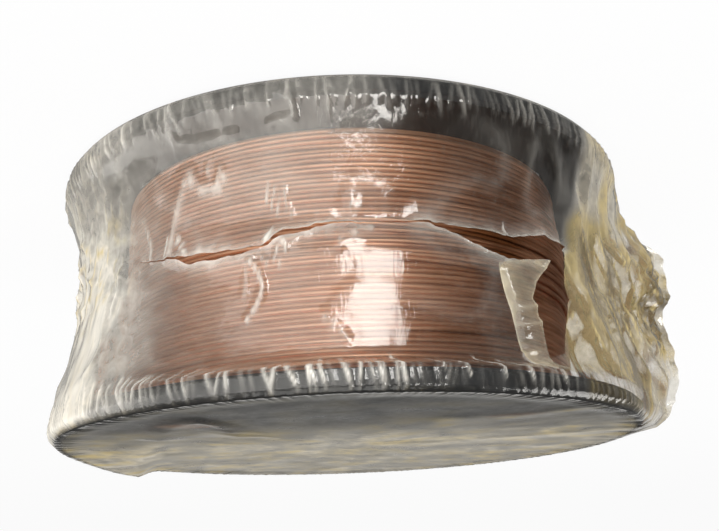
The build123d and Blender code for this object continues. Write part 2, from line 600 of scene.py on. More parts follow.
@dataclass
class Winding:
    """The wire on the spool: a helix over a core of deeper layers, with a few loose turns in the tear."""

    outer_radius: float = 39.3
    bore_radius: float = 21.15
    bottom: float = 2.85
    top: float = 42.15
    wire_radius: float = 0.38
    bedded_radius: float = 0.47
    pitch: float = 0.786
    core_depth: float = 0.55
    core_sides: int = 160
    core_end_normal: float = 0.9
    core_smooth_angle: float = 40.0
    steps_a_turn: int = 140
    wire_sides: int = 10
    wander: float = 0.09
    quiver: float = 0.04
    sink: float = 0.22
    sink_from: float = 0.35
    slack_turn: float = -78.0
    slack_spread: float = 22.0
    slack_height: float = 15.0
    slack_rise: float = 5.0
    slack_lift: float = 0.9
    loose_turns: int = 8
    loose_from: float = -124.0
    loose_from_play: tuple[float, float] = (-6.0, 6.0)
    loose_to: float = 14.0
    loose_to_play: tuple[float, float] = (-14.0, 10.0)
    loose_foot: float = 18.6
    loose_spacing: float = 0.86
    loose_slant: float = 2.6
    loose_lift: float = 0.85
    loose_tuck: float = 0.45
    loose_sway: float = 0.25
    finish: CopperWire = field(default_factory=CopperWire)

    def tube(self, turn: Array, radius: Array, height: Array, thick: float) -> tuple[Array, list[list[int]]]:
        """Skin of one wire.

        Args:
            turn: degrees round the axis of each point of its line.
            radius: distance of each point from the axis.
            height: height of each point.
            thick: the wire's own radius.

        Returns:
            The skin's points and its faces, closed at both ends.
        """
        clock = np.linspace(0.0, 2.0 * math.pi, self.wire_sides, endpoint=False)
        reach = radius[:, None] + thick * np.cos(clock)
        rise = height[:, None] + thick * np.sin(clock)
        numbers = np.arange(reach.size).reshape(reach.shape)
        faces = grid_quads(np.hstack([numbers, numbers[:, :1]])).reshape(-1, 4).tolist()
        faces += [numbers[0].tolist(), numbers[-1, ::-1].tolist()]
        return around(turn[:, None], reach, rise).reshape(-1, 3), faces

    def helix(self) -> tuple[Array, list[list[int]]]:
        """The outermost layer, wound from the lower flange to the upper one.

        Returns:
            Its points and faces.
        """
        foot, head = self.bottom + self.bedded_radius, self.top - self.bedded_radius
        turns = (head - foot) / self.pitch
        wound = np.linspace(0.0, turns, int(turns * self.steps_a_turn))
        turn = wound * 360.0
        share = wound / turns
        slow, quick = Wander(21, 9, 52), Wander(22, 34, 104)
        sunk = np.clip(Wander(23, 5, 52).at(turn, share) - self.sink_from, 0.0, 1.0)
        height = foot + wound * self.pitch
        slack = bell(turn_gap(turn, self.slack_turn), self.slack_spread)
        slack = slack * bell(height - self.slack_height, self.slack_rise)
        radius = self.outer_radius - self.bedded_radius - self.wander + self.slack_lift * slack
        radius = radius + self.wander * slow.at(turn, share) - self.sink * sunk
        height = height + self.wander * slow.at(turn + 40.0, share) + self.quiver * quick.at(turn, share)
        return self.tube(turn, radius, np.clip(height, foot, head), self.bedded_radius)

    def loose(self, number: int, rng: np.random.Generator) -> tuple[Array, list[list[int]]]:
        """One loose turn that slants across the tear and tucks under its neighbours at both ends.

        Args:
            number: which loose turn, counted from the lowest.
            rng: the draw for its own slant and lift.

        Returns:
            Its points and faces.
        """
        start = self.loose_from + rng.uniform(*self.loose_from_play)
        end = self.loose_to + rng.uniform(*self.loose_to_play)
        turn = np.linspace(start, end, self.steps_a_turn // 2)
        share = (turn - start) / (end - start)
        swell = np.sin(math.pi * share) ** 0.7
        lift = self.loose_lift * (0.7 + 0.6 * rng.random()) * swell
        radius = self.outer_radius - self.wire_radius - self.loose_tuck * (1 - swell) + lift
        slant = self.loose_slant * (0.75 + 0.5 * rng.random())
        height = self.loose_foot + number * self.loose_spacing + slant * (0.5 - share)
        height = height + self.loose_sway * np.sin(2.0 * math.pi * (share + rng.random()))
        return self.tube(turn, radius, height, self.wire_radius)

    def build_core(self) -> bpy.types.Object:
        """Ring of deeper layers under the helix: a cylinder whose ends are inset and bridged to a bore.

        Returns:
            The ring.
        """
        core_radius = self.outer_radius - self.core_depth
        bpy.ops.object.select_all(action="DESELECT")
        bpy.ops.mesh.primitive_cylinder_add(
            vertices=self.core_sides, radius=core_radius * MM, depth=(self.top - self.bottom) * MM,
            end_fill_type="NGON", location=(0.0, 0.0, (self.top + self.bottom) / 2 * MM))
        core = bpy.context.object
        core.name = core.data.name = "wire_core"
        bpy.ops.object.transform_apply(location=True, rotation=True, scale=True)
        bpy.ops.object.mode_set(mode="EDIT")
        bpy.ops.mesh.select_mode(type="FACE")
        bpy.ops.mesh.select_all(action="DESELECT")
        bpy.ops.object.mode_set(mode="OBJECT")
        for face in core.data.polygons:
            face.select = abs(face.normal.z) > self.core_end_normal
        bpy.ops.object.mode_set(mode="EDIT")
        bpy.ops.mesh.inset(thickness=(core_radius - self.bore_radius) * MM)
        bpy.ops.mesh.bridge_edge_loops()
        bpy.ops.mesh.select_all(action="SELECT")
        bpy.ops.mesh.normals_make_consistent(inside=False)
        bpy.ops.object.mode_set(mode="OBJECT")
        bpy.ops.object.shade_smooth_by_angle(angle=math.radians(self.core_smooth_angle))
        core.select_set(False)
        return core

    def build_turns(self) -> bpy.types.Object:
        """All visible turns of wire as one piece.

        Returns:
            The piece.
        """
        rng = np.random.default_rng(24)
        strands = [self.helix()] + [self.loose(number, rng) for number in range(self.loose_turns)]
        points, faces, first = [], [], 0
        for strand_points, strand_faces in strands:
            points.append(strand_points)
            faces.extend([[first + corner for corner in face] for face in strand_faces])
            first += len(strand_points)
        return mesh_piece("wire_turns", np.concatenate(points), faces)

    def build(self) -> list[bpy.types.Object]:
        """Build and dress the core and the turns, and return them."""
        material = self.finish.material()
        pieces = [self.build_core(), self.build_turns()]
        for piece in pieces:
            dress(piece, material, Node.COIL)
        return pieces


@dataclass(frozen=True)
class Crease:
    """A fold or dent in the film along a line.

    Attributes:
        path: the line's corners, in (turn, height) on the wall or (x, y) on the upper face.
        width: half width of the fold.
        lift: how far the fold stands out, or in where it is below 0.
        haze: how milky the fold is; this milk also paints the fold's glint, a painted highlight.
    """

    path: Path
    width: float
    lift: float
    haze: float


class Relief(Enum):
    """Folds that the photograph shows on the film, by the face that they are on."""

    # Each crease's haze paints its glint as milk: a painted highlight.
    WALL = (
        Crease(((27.4, 0.3), (28.9, 4.6), (27.6, 6.9), (23.2, 7.7), (16.5, 7.5)), 0.7, 0.5, 0.08),
        Crease(((24.4, 0.6), (21.2, 1.2), (19.5, 4.0), (18.7, 6.2)), 0.8, 0.35, 0.06),
        Crease(((9.3, 2.0), (7.3, 3.2), (6.3, 4.9), (6.3, 6.2), (10.3, 6.7)), 0.5, 0.5, 0.1),
        Crease(((26.1, 12.2), (24.5, 13.7), (22.4, 14.4), (20.6, 14.1), (19.4, 13.0)), 0.8, 0.5, 0.28),
        Crease(((22.3, 12.2), (22.3, 10.7), (20.6, 10.6), (19.8, 11.7), (20.6, 12.8)), 0.6, 0.3, 0.2),
        Crease(((25.5, 11.4), (27.4, 12.9), (29.6, 16.5), (31.3, 20.2), (30.7, 22.3)), 0.9, 0.6, 0.22),
        Crease(((30.4, 19.3), (29.4, 20.9), (27.8, 22.6)), 0.5, 0.4, 0.4),
        Crease(((12.9, 14.5), (11.1, 15.3), (9.7, 16.9)), 0.5, 0.3, 0.14),
        Crease(((12.2, 16.4), (11.0, 17.7), (9.6, 18.6)), 0.5, 0.3, 0.3),
        Crease(((8.8, 15.5), (8.7, 17.8), (7.6, 19.3)), 0.5, 0.3, 0.14),
        Crease(((12.3, 22.6), (11.5, 21.4)), 0.6, 0.5, 0.5),
        Crease(((10.5, 23.9), (9.1, 23.3), (8.6, 24.2), (9.8, 24.7), (10.5, 23.9)), 0.35, 0.35, 0.4),
        Crease(((15.9, 25.4), (16.3, 28.0), (16.8, 30.2)), 0.6, 0.4, 0.12),
        Crease(((15.0, 25.5), (13.5, 27.4), (13.2, 29.4), (14.8, 31.8), (16.4, 33.2)), 0.6, 0.6, 0.4),
        Crease(((13.0, 25.1), (11.9, 26.4)), 0.5, 0.3, 0.2),
        Crease(((10.9, 25.3), (9.8, 26.4)), 0.5, 0.3, 0.2),
        Crease(((44.5, 22.3), (43.2, 25.0), (44.4, 26.7), (44.9, 28.4)), 0.6, 0.5, 0.3),
        Crease(((37.1, 17.5), (36.2, 19.8), (35.5, 22.5)), 0.35, 0.35, 0.3),
        Crease(((32.3, 19.7), (31.9, 22.1)), 0.35, 0.35, 0.3),
        Crease(((56.5, 21.4), (60.0, 19.6), (65.0, 18.8), (70.0, 20.4), (76.0, 23.0), (84.0, 23.6)),
               0.5, 0.6, 0.3),
        Crease(((58.0, 24.5), (63.0, 25.5), (68.0, 24.0)), 0.5, 0.4, 0.25),
        Crease(((62.0, 14.0), (66.0, 16.0), (64.0, 18.0)), 0.7, 0.5, 0.2),
        Crease(((-2.2, 18.2), (-3.1, 17.5), (-4.3, 18.1), (-3.5, 19.1), (-2.2, 18.2)), 0.5, 0.3, 0.12),
        Crease(((-0.5, 23.1), (-3.1, 22.3), (-6.0, 21.5)), 0.7, 0.5, 0.35),
        Crease(((3.0, 33.5), (0.5, 35.0), (-1.5, 36.8)), 0.6, 0.2, 0.2),
        Crease(((-14.3, 40.2), (-15.1, 42.0)), 0.3, 0.45, 0.5),
        Crease(((-17.7, 40.2), (-19.1, 43.0)), 0.3, 0.45, 0.5),
        Crease(((-23.4, 39.0), (-24.9, 42.8)), 0.3, 0.45, 0.5),
        Crease(((-28.1, 39.6), (-29.7, 42.9)), 0.3, 0.45, 0.45),
        Crease(((-34.5, 38.2), (-35.4, 40.9), (-36.3, 42.8)), 0.35, 0.5, 0.45),
        Crease(((-32.1, 19.0), (-32.3, 20.6)), 0.3, 0.4, 0.5),
    )
    UPPER_FACE = (
        Crease(((30.8, -15.9), (27.1, -25.8), (23.9, -30.8), (20.8, -31.8), (18.6, -27.5), (18.0, -16.7)),
               1.4, 0.4, 0.0),
        Crease(((33.4, 3.2), (26.7, -8.5), (21.7, -13.2)), 2.5, -0.3, 0.0),
        Crease(((-36.0, -30.0), (-26.0, -24.0), (-14.0, -23.0)), 2.5, 0.12, 0.05),
        Crease(((-47.0, -6.0), (-34.0, -2.0), (-20.0, 2.0), (-6.0, 4.5)), 2.5, 0.12, 0.05),
        Crease(((8.0, 44.0), (-4.0, 28.0), (-9.0, 14.0)), 2.5, 0.1, 0.05),
    )


@dataclass
class Patch:
    """A grid of places on the film.

    Attributes:
        reach: how far out each place is: its distance from the axis on the wall, its height on a face.
        haze: how milky it is; in places this milk also holds painted highlights and painted reflections.
        stain: how yellow or dirty its milk is.
        dull: how scuffed its gloss is.
        most: largest value that a look is given.
    """

    reach: Array
    haze: Level = 0.0
    stain: Level = 0.0
    dull: Level = 0.0
    most: float = 0.93

    def fold(self, relief: Level, haze: Level = 0.0, stain: Level = 0.0, dull: Level = 0.0) -> None:
        """Add a fold or another change to the patch.

        Args:
            relief: how far out it moves each place.
            haze: how much milkier it makes it.
            stain: how much yellower or dirtier it makes it.
            dull: how much duller it makes it.
        """
        self.reach = self.reach + relief
        self.haze, self.stain, self.dull = self.haze + haze, self.stain + stain, self.dull + dull

    def crease(self, across: Array, up: Array, relief: Relief, scale: float = 1.0) -> None:
        """Add a face's creases to the patch.

        Args:
            across: first coordinate of each place.
            up: second coordinate of each place.
            relief: the creases, in those coordinates.
            scale: millimetres to one unit of the creases' first coordinate.
        """
        for crease in relief.value:
            path = np.array(crease.path) * (scale, 1.0)
            stand = bell(line_distance(across, up, path), crease.width)
            # The creases' milk is partly a painted highlight: their glints.
            self.fold(crease.lift * stand, crease.haze * stand ** 4)

    def looks(self) -> dict[Look, Array]:
        """The patch's looks, each from 0 to its largest value."""
        given = {Look.HAZE: self.haze, Look.STAIN: self.stain, Look.DULL: self.dull}
        shape = self.reach.shape
        return {look: np.clip(np.broadcast_to(level, shape), 0.0, self.most) for look, level in given.items()}


def give_looks(piece: bpy.types.Object, looks: dict[Look, Array]) -> None:
    """Store looks on a piece's points.

    Args:
        piece: the piece.
        looks: each look's values, in the order of the points.
    """
    for look, values in looks.items():
        attribute = piece.data.attributes.new(look.value, "FLOAT", "POINT")
        attribute.data.foreach_set("value", np.asarray(values, np.float32).reshape(-1))


@dataclass(frozen=True)
class WallPlaces:
    """Places on the film's wall.

    Attributes:
        turn: degrees round the axis from the near side towards +X.
        height: heights above the floor.
    """

    turn: Array
    height: Array

    @property
    def rise(self) -> Array:
        """Share of the way up the wall."""
        return self.height / WALL_HEIGHT

    @property
    def away(self) -> Array:
        """Degrees from the gathered end, at -X."""
        return 180.0 - np.abs(self.turn - 90.0)


@dataclass(frozen=True)
class SkinGrid:
    """The skin's points in rows, from the middle of its lower face to the middle of its upper face.

    Attributes:
        turn: degrees round the axis.
        reach: distances from the axis.
        height: heights above the floor.
        looks: the film's looks.
        seam: first row above the tear.
        brim: first row of the upper face.
    """

    turn: Array
    reach: Array
    height: Array
    looks: dict[Look, Array]
    seam: int
    brim: int


@dataclass
class FilmSkin:
    """The film as one thin skin: lower face, wall with its tear, upper face and gathered end."""

    near_columns: int = 700
    far_columns: int = 460
    fin_columns: int = 9
    rim_radius: float = 50.22
    foot: float = 0.1
    head: float = 44.95
    wall_foot: float = 1.0
    wall_head: float = 44.1
    wall_scale: float = 46.0 * math.pi / 180.0
    flat: tuple[float, float] = (0.33, 0.105)
    finish: ClearFilm = field(default_factory=ClearFilm)

    underside_radii: tuple[float, ...] = (15.0, 30.0, 42.0, 48.0, 49.6)
    face_radii: tuple[float, ...] = (
        49.55, 49.0, 48.2, 47.4, 46.5, 45.5, 44.4, 43.2, 41.8, 40.2, 38.4, 36.4, 34.0, 31.2, 28.0, 24.0, 19.0,
        14.0, 9.0, 4.0)
    side_profile: Path = (
        (0.0, 50.2), (3.3, 50.25), (5.0, 49.7), (7.0, 48.9), (10.0, 47.9), (15.5, 47.1), (21.0, 46.9),
        (26.0, 47.2), (33.0, 48.5), (37.7, 49.8), (41.6, 50.4), (43.3, 50.6), (45.0, 50.3))
    near_profile: Path = (
        (0.0, 50.2), (3.3, 50.3), (4.6, 49.8), (8.0, 48.6), (14.0, 46.5), (20.0, 44.4), (22.0, 45.7),
        (24.0, 45.9), (28.0, 45.15), (32.0, 44.5), (36.0, 43.9), (38.6, 43.6), (39.6, 44.6), (41.5, 50.5),
        (44.1, 50.15), (45.0, 50.15))
    near_turns: Window = (-52.0, -30.0, 14.0, 48.0)

    fin_radius: float = 60.0
    fin_reach: float = 1.4
    fin_foot: float = 8.0
    fin_head: float = 42.8
    fin_fade: float = 3.0
    fin_join: float = 0.5
    fin_gap: float = 0.06
    fin_sway: float = 0.9
    fin_ragged: float = 0.14
    tail_reach: Path = (
        (0.0, 51.8), (4.0, 52.6), (7.0, 53.0), (10.6, 57.3), (13.5, 59.5), (17.0, 60.2), (21.0, 60.2),
        (25.0, 57.7), (29.4, 58.3), (35.8, 59.4), (39.4, 58.2), (42.5, 56.3), (44.5, 53.5), (45.0, 51.0))

    tear_tip: float = 57.0
    slit_end: float = -16.4
    tear_jag: float = 0.16
    tear_closed: float = 0.03
    lip_opening: float = 0.5
    lip_depth: float = 0.9
    slit: Path = (
        (56.5, 21.4), (47.0, 20.9), (40.0, 22.0), (35.7, 22.6), (27.3, 23.6), (22.0, 23.9), (16.2, 23.9),
        (13.1, 23.5), (9.8, 22.2), (6.3, 21.6), (2.9, 21.0), (0.3, 20.3), (-4.0, 20.7), (-8.3, 20.5),
        (-12.7, 20.3), (-16.4, 20.1))
    slit_width: Path = (
        (57.0, 0.0), (41.0, 0.0), (36.0, 0.12), (29.5, 0.3), (27.0, 1.3), (22.0, 1.1), (16.0, 0.7),
        (13.0, 0.3), (9.0, 0.9), (4.0, 0.8), (1.5, 0.5), (0.0, 0.3), (-6.0, 0.2), (-12.0, 0.25),
        (-15.0, 0.4), (-16.4, 0.5))
    mouth_low: Path = (
        (-16.4, 19.9), (-20.1, 20.2), (-24.0, 20.5), (-28.2, 20.8), (-32.6, 21.2), (-37.8, 20.4),
        (-41.5, 19.7), (-43.8, 20.6), (-45.2, 22.0))
    mouth_high: Path = (
        (-16.4, 20.4), (-18.2, 20.9), (-20.9, 21.8), (-23.8, 23.0), (-26.7, 24.1), (-29.2, 24.7),
        (-32.1, 24.9), (-37.1, 24.4), (-42.2, 23.8), (-44.2, 22.9), (-45.2, 22.0))

    notch_left: float = -38.2
    notch_left_spread: float = 2.6
    notch_right: float = -44.8
    notch_right_spread: float = 4.0
    notch_head: float = 38.4
    notch_heights: Window = (23.0, 26.0, 40.0, 43.0)
    notch_left_edge: Path = (
        (23.8, -41.0), (27.8, -37.6), (30.2, -36.6), (32.7, -37.4), (35.2, -38.2), (37.4, -38.2),
        (38.5, -38.8))
    notch_right_edge: Path = (
        (20.0, -46.6), (22.0, -45.6), (24.9, -44.8), (27.4, -44.7), (29.1, -45.2), (31.5, -44.2),
        (34.0, -43.0), (37.5, -42.0), (38.9, -41.0))

    free_heights: Window = (3.2, 8.0, 37.0, 41.8)
    taut_turns: Window = (-48.0, -30.0, 22.0, 60.0)
    side_turns: Window = (28.0, 54.0, 80.0, 125.0)
    back_turns: Window = (80.0, 120.0, 200.0, 235.0)
    knot_heights: Window = (9.0, 15.0, 25.0, 31.0)
    glint_turns: Window = (-13.0, -8.0, 3.0, 14.0)
    pleat_slant: float = 27.0
    pleat_pitch: float = 8.5
    line_pitch: float = 3.1
    tail_scale: float = 0.87
    comb_count: int = 280
    comb_fade: tuple[float, float] = (-3.6, -1.2)

    face_span: float = 120.0
    face_rim: Window = (0.89, 0.96, 0.97, 1.02)
    tent_foot: tuple[float, float] = (32.3, -16.4)
    tent_head: tuple[float, float] = (43.5, 24.0)
    tent_lift: float = 1.5
    tent_outer: float = 11.0
    tent_inner: float = 2.4

    def columns(self) -> tuple[Array, Array]:
        """Places of the columns round the spool, from one side of the gathered edge to the other.

        Returns:
            Each column's turn in degrees, and its share of the way out along the gathered edge.
        """
        lip = math.degrees(self.fin_gap / self.fin_radius)
        near = np.linspace(-90.0 + lip, 90.0, self.near_columns, endpoint=False)
        far = np.linspace(90.0, 270.0 - lip, self.far_columns)
        out = np.linspace(1.0, 0.0, self.fin_columns, endpoint=False)
        turn = np.concatenate([np.full(len(out), near[0]), near, far, np.full(len(out), far[-1])])
        fin = np.concatenate([out, np.zeros(len(near) + len(far)), out[::-1]])
        return turn, fin

    def tear_edges(self, turn: Array) -> tuple[Array, Array]:
        """Heights of the tear's two edges.

        Args:
            turn: where they are read.

        Returns:
            The lower edge and the upper edge, equal where the film is whole.
        """
        middle, width = along(turn, self.slit), along(turn, self.slit_width)
        inside = (turn < self.tear_tip) & (turn > self.notch_right)
        rough = self.tear_jag * Wander(31, 300, 2).at(turn, np.zeros_like(turn)) * inside
        in_mouth = turn < self.slit_end
        low = np.where(in_mouth, along(turn, self.mouth_low), middle - width / 2) + rough
        high = np.where(in_mouth, along(turn, self.mouth_high), middle + width / 2) + rough
        return low, np.where(inside, np.maximum(high, low), low)

    def fin(self, height: Array) -> Array:
        """How far the gathered edge runs out past the teardrop, at a height."""
        foot, head = self.fin_foot, self.fin_head
        return self.fin_reach * plateau(height, (foot, foot + self.fin_fade, head - self.fin_fade, head))

    def radius(self, at: WallPlaces) -> Array:
        """Smooth wall without wrinkles: waisted round the spool and drawn out to the gathered end.

        Args:
            at: places on the wall.

        Returns:
            Distances from the axis.
        """
        near = plateau(at.turn, self.near_turns)
        body = along(at.height, self.side_profile) * (1 - near) + along(at.height, self.near_profile) * near
        reach = np.maximum(along(at.height, self.tail_reach) - self.fin(at.height), body)
        lean = np.degrees(np.arccos(body / reach))
        return body / np.cos(np.radians(np.maximum(lean - at.away, 0.0)))

    def comb(self, at: WallPlaces, rim: Rim) -> Array:
        """Short gathers across one rim.

        Args:
            at: places on the wall.
            rim: the rim.

        Returns:
            How far they stand out, from 0 to about 1.
        """
        seed, rim_height, fades_to = rim.value
        rng = np.random.default_rng(seed)
        spread = 360.0 / self.comb_count
        above = at.height - rim_height
        stand = np.zeros(at.turn.shape)
        for number in range(self.comb_count):
            place = -90.0 + (number + rng.uniform(-0.42, 0.42)) * spread
            tall, half, lean = rng.uniform(0.2, 1.0) ** 1.3, rng.uniform(0.2, 0.32), rng.normal(-0.12, 0.11)
            length = rng.uniform(1.0, 3.0) * (0.6 + 0.6 * tall)
            gap = turn_gap(at.turn, place + 1.6 * lean * above) * self.wall_scale
            near = np.abs(gap) < 3.0 * half
            fade = plateau(above[near] * fades_to, (*self.comb_fade, 0.3 * length, length))
            stand[near] += tall * fade * bell(gap[near], half)
        return stand

    def slacken(self, patch: Patch, at: WallPlaces) -> None:
        """Add the loose wrinkles of the whole wall, milk along their crests, a painted reflection as milk on
        the bright near side, and its milky +X side.

        Args:
            patch: the wall.
            at: its places.
        """
        turn, height, rise = at.turn, at.height, at.rise
        free = plateau(height, self.free_heights)
        taut, side = plateau(turn, self.taut_turns), plateau(turn, self.side_turns)
        back = plateau(turn, self.back_turns)
        knot = side * (0.25 + 0.75 * plateau(height, self.knot_heights))
        # Span of the near wall, towards +X, where the mirrored bright wall is painted as milk.
        lit = ramp(turn, -12.0, -4.0) * ramp(turn, 60.0, 40.0) * (1.0 - 0.7 * ramp(height, 37.0, 40.0))
        slack, wrinkle, drift = Wander(41, 46, 6), Wander(42, 150, 16), Wander(40, 22, 5)
        crests = slack.crests(turn + 8.0 * drift.at(turn, rise), rise + 0.14 * drift.at(turn + 150.0, rise))
        crinkle = Wander(49, 120, 20).crests(turn, rise)
        loose = (0.5 - 0.34 * taut) * (crests - 0.45) + (0.13 - 0.095 * taut) * wrinkle.at(turn, rise)
        milk = side * (0.13 + 0.3 * ramp(height, 6.0, 32.0) + 0.1 * slack.at(turn + 50.0, rise))
        # Painted reflection: milk on that span stands in for the bright wall mirrored there. The second part
        # is milk along the wrinkle crests, more at the back.
        painted_reflection_and_crest_milk = lit * (0.065 + 0.06 * ramp(height, 13.0, 4.0)) + free * (0.06 + 0.05 * back) * crests ** 3
        patch.fold(
            free * (loose + 0.38 * knot * (crinkle - 0.4)),
            haze=0.006 + milk + 0.2 * knot * crinkle ** 2 + painted_reflection_and_crest_milk + 0.02 * back,
            stain=0.1 * side + 0.35 * knot * crinkle ** 4,
            dull=0.15 * side + 0.1 * back)

    def gather(self, patch: Patch, at: WallPlaces) -> None:
        """Draw the film together at the -X end: slanting pleats that end in a crumpled bunch.

        Args:
            patch: the wall.
            at: its places.
        """
        turn, height, rise, away = at.turn, at.height, at.rise, at.away
        free = plateau(height, self.free_heights)
        upright, lobe = ramp(height, 12.0, 18.0), ramp(height, 27.0, 33.0)
        edge = 41.0 + 4.0 * upright + 5.0 * ramp(height, 21.0, 24.0)
        drawn = ease((edge - away) / np.where(turn > 90.0, 24.0, 5.0))
        bunch = ramp(away, 19.0, 8.0) * (1.0 - 0.9 * lobe)
        corner = drawn * lobe * ramp(away, 18.0, 12.0)
        slow, patchy = Wander(46, 60, 7), Wander(47, 110, 14)
        crumple, facet = Wander(43, 170, 26).crests(turn, rise), Wander(48, 230, 34).at(turn, rise)
        tone = slow.at(turn + 90.0, rise)
        run = away * self.tail_scale + height * math.tan(math.radians(self.pleat_slant))
        pleat = wave(run / self.pleat_pitch + 0.5 * slow.at(turn, rise))
        # Thin slanting lines: a little relief, plus a painted glint as more milk and less stain along them.
        line = wave(run / self.line_pitch + 0.35 * slow.at(turn + 30.0, rise)) ** 16
        line = line * np.clip(0.2 + 1.1 * patchy.at(turn, rise), 0.0, 1.0) * upright * (1.0 - 0.8 * corner)
        band = bell(away - 42.0 + 0.6 * (height - 22.0), 3.5) * ramp(height, 19.0, 22.0)
        over_rim = 1.0 - 0.85 * ramp(height, 39.5, 41.5) * ramp(away, 14.0, 24.0)
        pleats = drawn * ((0.3 + 0.9 * ramp(away, 28.0, 12.0)) * (pleat - 0.4) + 0.22 * line)
        crumples = bunch * (0.35 + 0.65 * upright) * (1.3 * crumple - 0.6 + 0.35 * facet)
        milk = drawn * (0.29 + 0.07 * tone + 0.35 * line) + bunch * (0.02 + 0.16 * facet)
        yellow = drawn * (0.36 + 0.44 * upright + 0.22 * tone - 0.25 * line) + 0.3 * bunch * facet
        patch.fold(
            free * (pleats + crumples),
            haze=over_rim * (milk + 0.14 * band - 0.1 * corner),
            stain=yellow - 0.5 * corner)

    def comb_rims(self, patch: Patch, at: WallPlaces) -> None:
        """Add the short gathers across both rims.

        Args:
            patch: the wall.
            at: its places.
        """
        # Painted glints: the milk on the gathers' ridges stands in for their highlights. It is strongest on
        # the bright span near the front, where the glint turns are.
        lit = 0.4 * ramp(at.turn, -13.0, -8.0) + 0.6 * plateau(at.turn, self.glint_turns)
        low, high = self.comb(at, Rim.LOWER), self.comb(at, Rim.UPPER)
        patch.fold(
            0.34 * low + (0.24 + 0.2 * lit) * high,
            haze=0.2 * np.clip(low, 0.0, 1.2) + (0.12 + 0.75 * lit) * np.clip(high, 0.0, 1.2) ** 1.3,
            dull=0.18 * ramp(at.height, 37.8, 39.3))

    def wall(self, at: WallPlaces) -> Patch:
        """Wrinkled wall.

        Args:
            at: places on the wall.

        Returns:
            The wall, with distances from the axis.
        """
        patch = Patch(self.radius(at))
        self.slacken(patch, at)
        self.gather(patch, at)
        self.comb_rims(patch, at)
        patch.crease(at.turn * self.wall_scale, at.height, Relief.WALL, self.wall_scale)
        return patch

    def tent(self, x: Array, y: Array) -> Array:
        """How far a fold over the upper face's +X edge lifts the film there, steep on its inner side.

        Args:
            x: places along the first axis.
            y: places along the second axis.

        Returns:
            The lift at each place.
        """
        foot_x, foot_y = self.tent_foot
        run_x, run_y = np.subtract(self.tent_head, self.tent_foot)
        length = float(np.hypot(run_x, run_y))
        ahead = ((x - foot_x) * run_x + (y - foot_y) * run_y) / length ** 2
        outside = ((x - foot_x) * run_y - (y - foot_y) * run_x) / length
        width = np.where(outside > 0.0, self.tent_outer, self.tent_inner)
        return self.tent_lift * ease(ahead) * ramp(ahead, 1.7, 1.2) * bell(outside, width)

    def upper_face(self, turn: Array, radius: Array) -> Patch:
        """Wrinkled and dirty upper face, milkier towards +Y as a painted reflection.

        Args:
            turn: degrees round the spool.
            radius: distances from the axis.

        Returns:
            The face, with heights above the floor.
        """
        x, y = radius * np.sin(np.radians(turn)), -radius * np.cos(np.radians(turn))
        plan = ((x / self.face_span + 1.0) * 180.0, y / self.face_span + 0.5)
        slack, fine, dirt = Wander(51, 11, 12), Wander(52, 46, 48).at(*plan), Wander(53, 58, 50).at(*plan)
        share = radius / self.rim_radius
        inner = ramp(share, 0.96, 0.88)
        clean = ramp(share, 0.975, 0.955)
        # Painted reflection: more milk towards the far side, +Y, stands in for the brighter grazing
        # reflection there. The dirt adds more milk that way too.
        far = ramp(y, -32.0, 0.0)
        at_rim = WallPlaces(turn, np.full(turn.shape, Rim.UPPER.value[1]))
        comb = plateau(share, self.face_rim) * np.clip(self.comb(at_rim, Rim.UPPER), 0.0, 1.0)
        milk = 0.006 + far * (0.1 + 0.05 * slack.crests(*plan) ** 3) + (0.012 + 0.035 * far) * dirt
        patch = Patch(np.full(turn.shape, self.head))
        patch.fold(
            inner * (0.06 * slack.at(*plan) - 0.15 + 0.012 * fine) + 0.12 * comb,
            haze=clean * milk,
            stain=0.22 + 0.3 * np.clip(dirt, 0.0, 1.0) + 0.08 * fine,
            dull=0.5 * clean)
        patch.crease(x, y, Relief.UPPER_FACE)
        tent = self.tent(x, y)
        patch.fold(tent, haze=0.08 * tent)
        return patch

    @staticmethod
    def wall_shares() -> tuple[Array, Array]:
        """Shares of the way up at which the wall's rows lie, closest at the tear.

        Returns:
            The shares below the tear, and those above it.
        """
        below = np.linspace(0.0, 0.3, 12), np.linspace(0.3, 0.93, 12)[1:], [0.965, 0.985, 1.0]
        above = [0.0, 0.012, 0.035], np.linspace(0.07, 0.64, 13), np.linspace(0.64, 1.0, 14)[1:]
        return np.concatenate(below), np.concatenate(above)

    def grid(self, turn: Array) -> SkinGrid:
        """All points of the skin, without the gathered edge's own reach.

        Args:
            turn: each column's turn.

        Returns:
            The points and their looks.
        """
        low, high = self.tear_edges(turn)
        below, above = self.wall_shares()
        low_height = self.wall_foot + below[:, None] * (low - self.wall_foot)
        high_height = high + above[:, None] * (self.wall_head - high)
        wall_height = np.concatenate([low_height, high_height])
        at = WallPlaces(self.bend_to_notch(np.tile(turn, (len(wall_height), 1)), wall_height), wall_height)
        wall = self.wall(at)
        self.curl(wall, at, low, high)
        under_turn, under_radius = np.meshgrid(turn, self.underside_radii)
        underside = Patch(np.full(under_turn.shape, self.foot), haze=0.12, stain=0.2, dull=0.5)
        face_turn, face_radius = np.meshgrid(turn, self.face_radii)
        face = self.upper_face(face_turn, face_radius)
        parts = [part.looks() for part in (underside, wall, face)]
        seam = len(under_turn) + len(below)
        return SkinGrid(
            turn=np.concatenate([under_turn, at.turn, face_turn]),
            reach=np.concatenate([under_radius, wall.reach, face_radius]),
            height=np.concatenate([underside.reach, wall_height, face.reach]),
            looks={look: np.concatenate([part[look] for part in parts]) for look in Look},
            seam=seam,
            brim=seam + len(above))

    def bend_to_notch(self, turn: Array, height: Array) -> Array:
        """Lean the columns beside the notch so that they follow its two torn edges.

        Args:
            turn: turns of the wall's points.
            height: their heights.

        Returns:
            The turns, leaned.
        """
        beside = plateau(height, self.notch_heights)
        for edge, column, spread in ((self.notch_left_edge, self.notch_left, self.notch_left_spread),
                                     (self.notch_right_edge, self.notch_right, self.notch_right_spread)):
            turn = turn + beside * (along(height, edge) - column) * bell(turn - column, spread)
        return turn

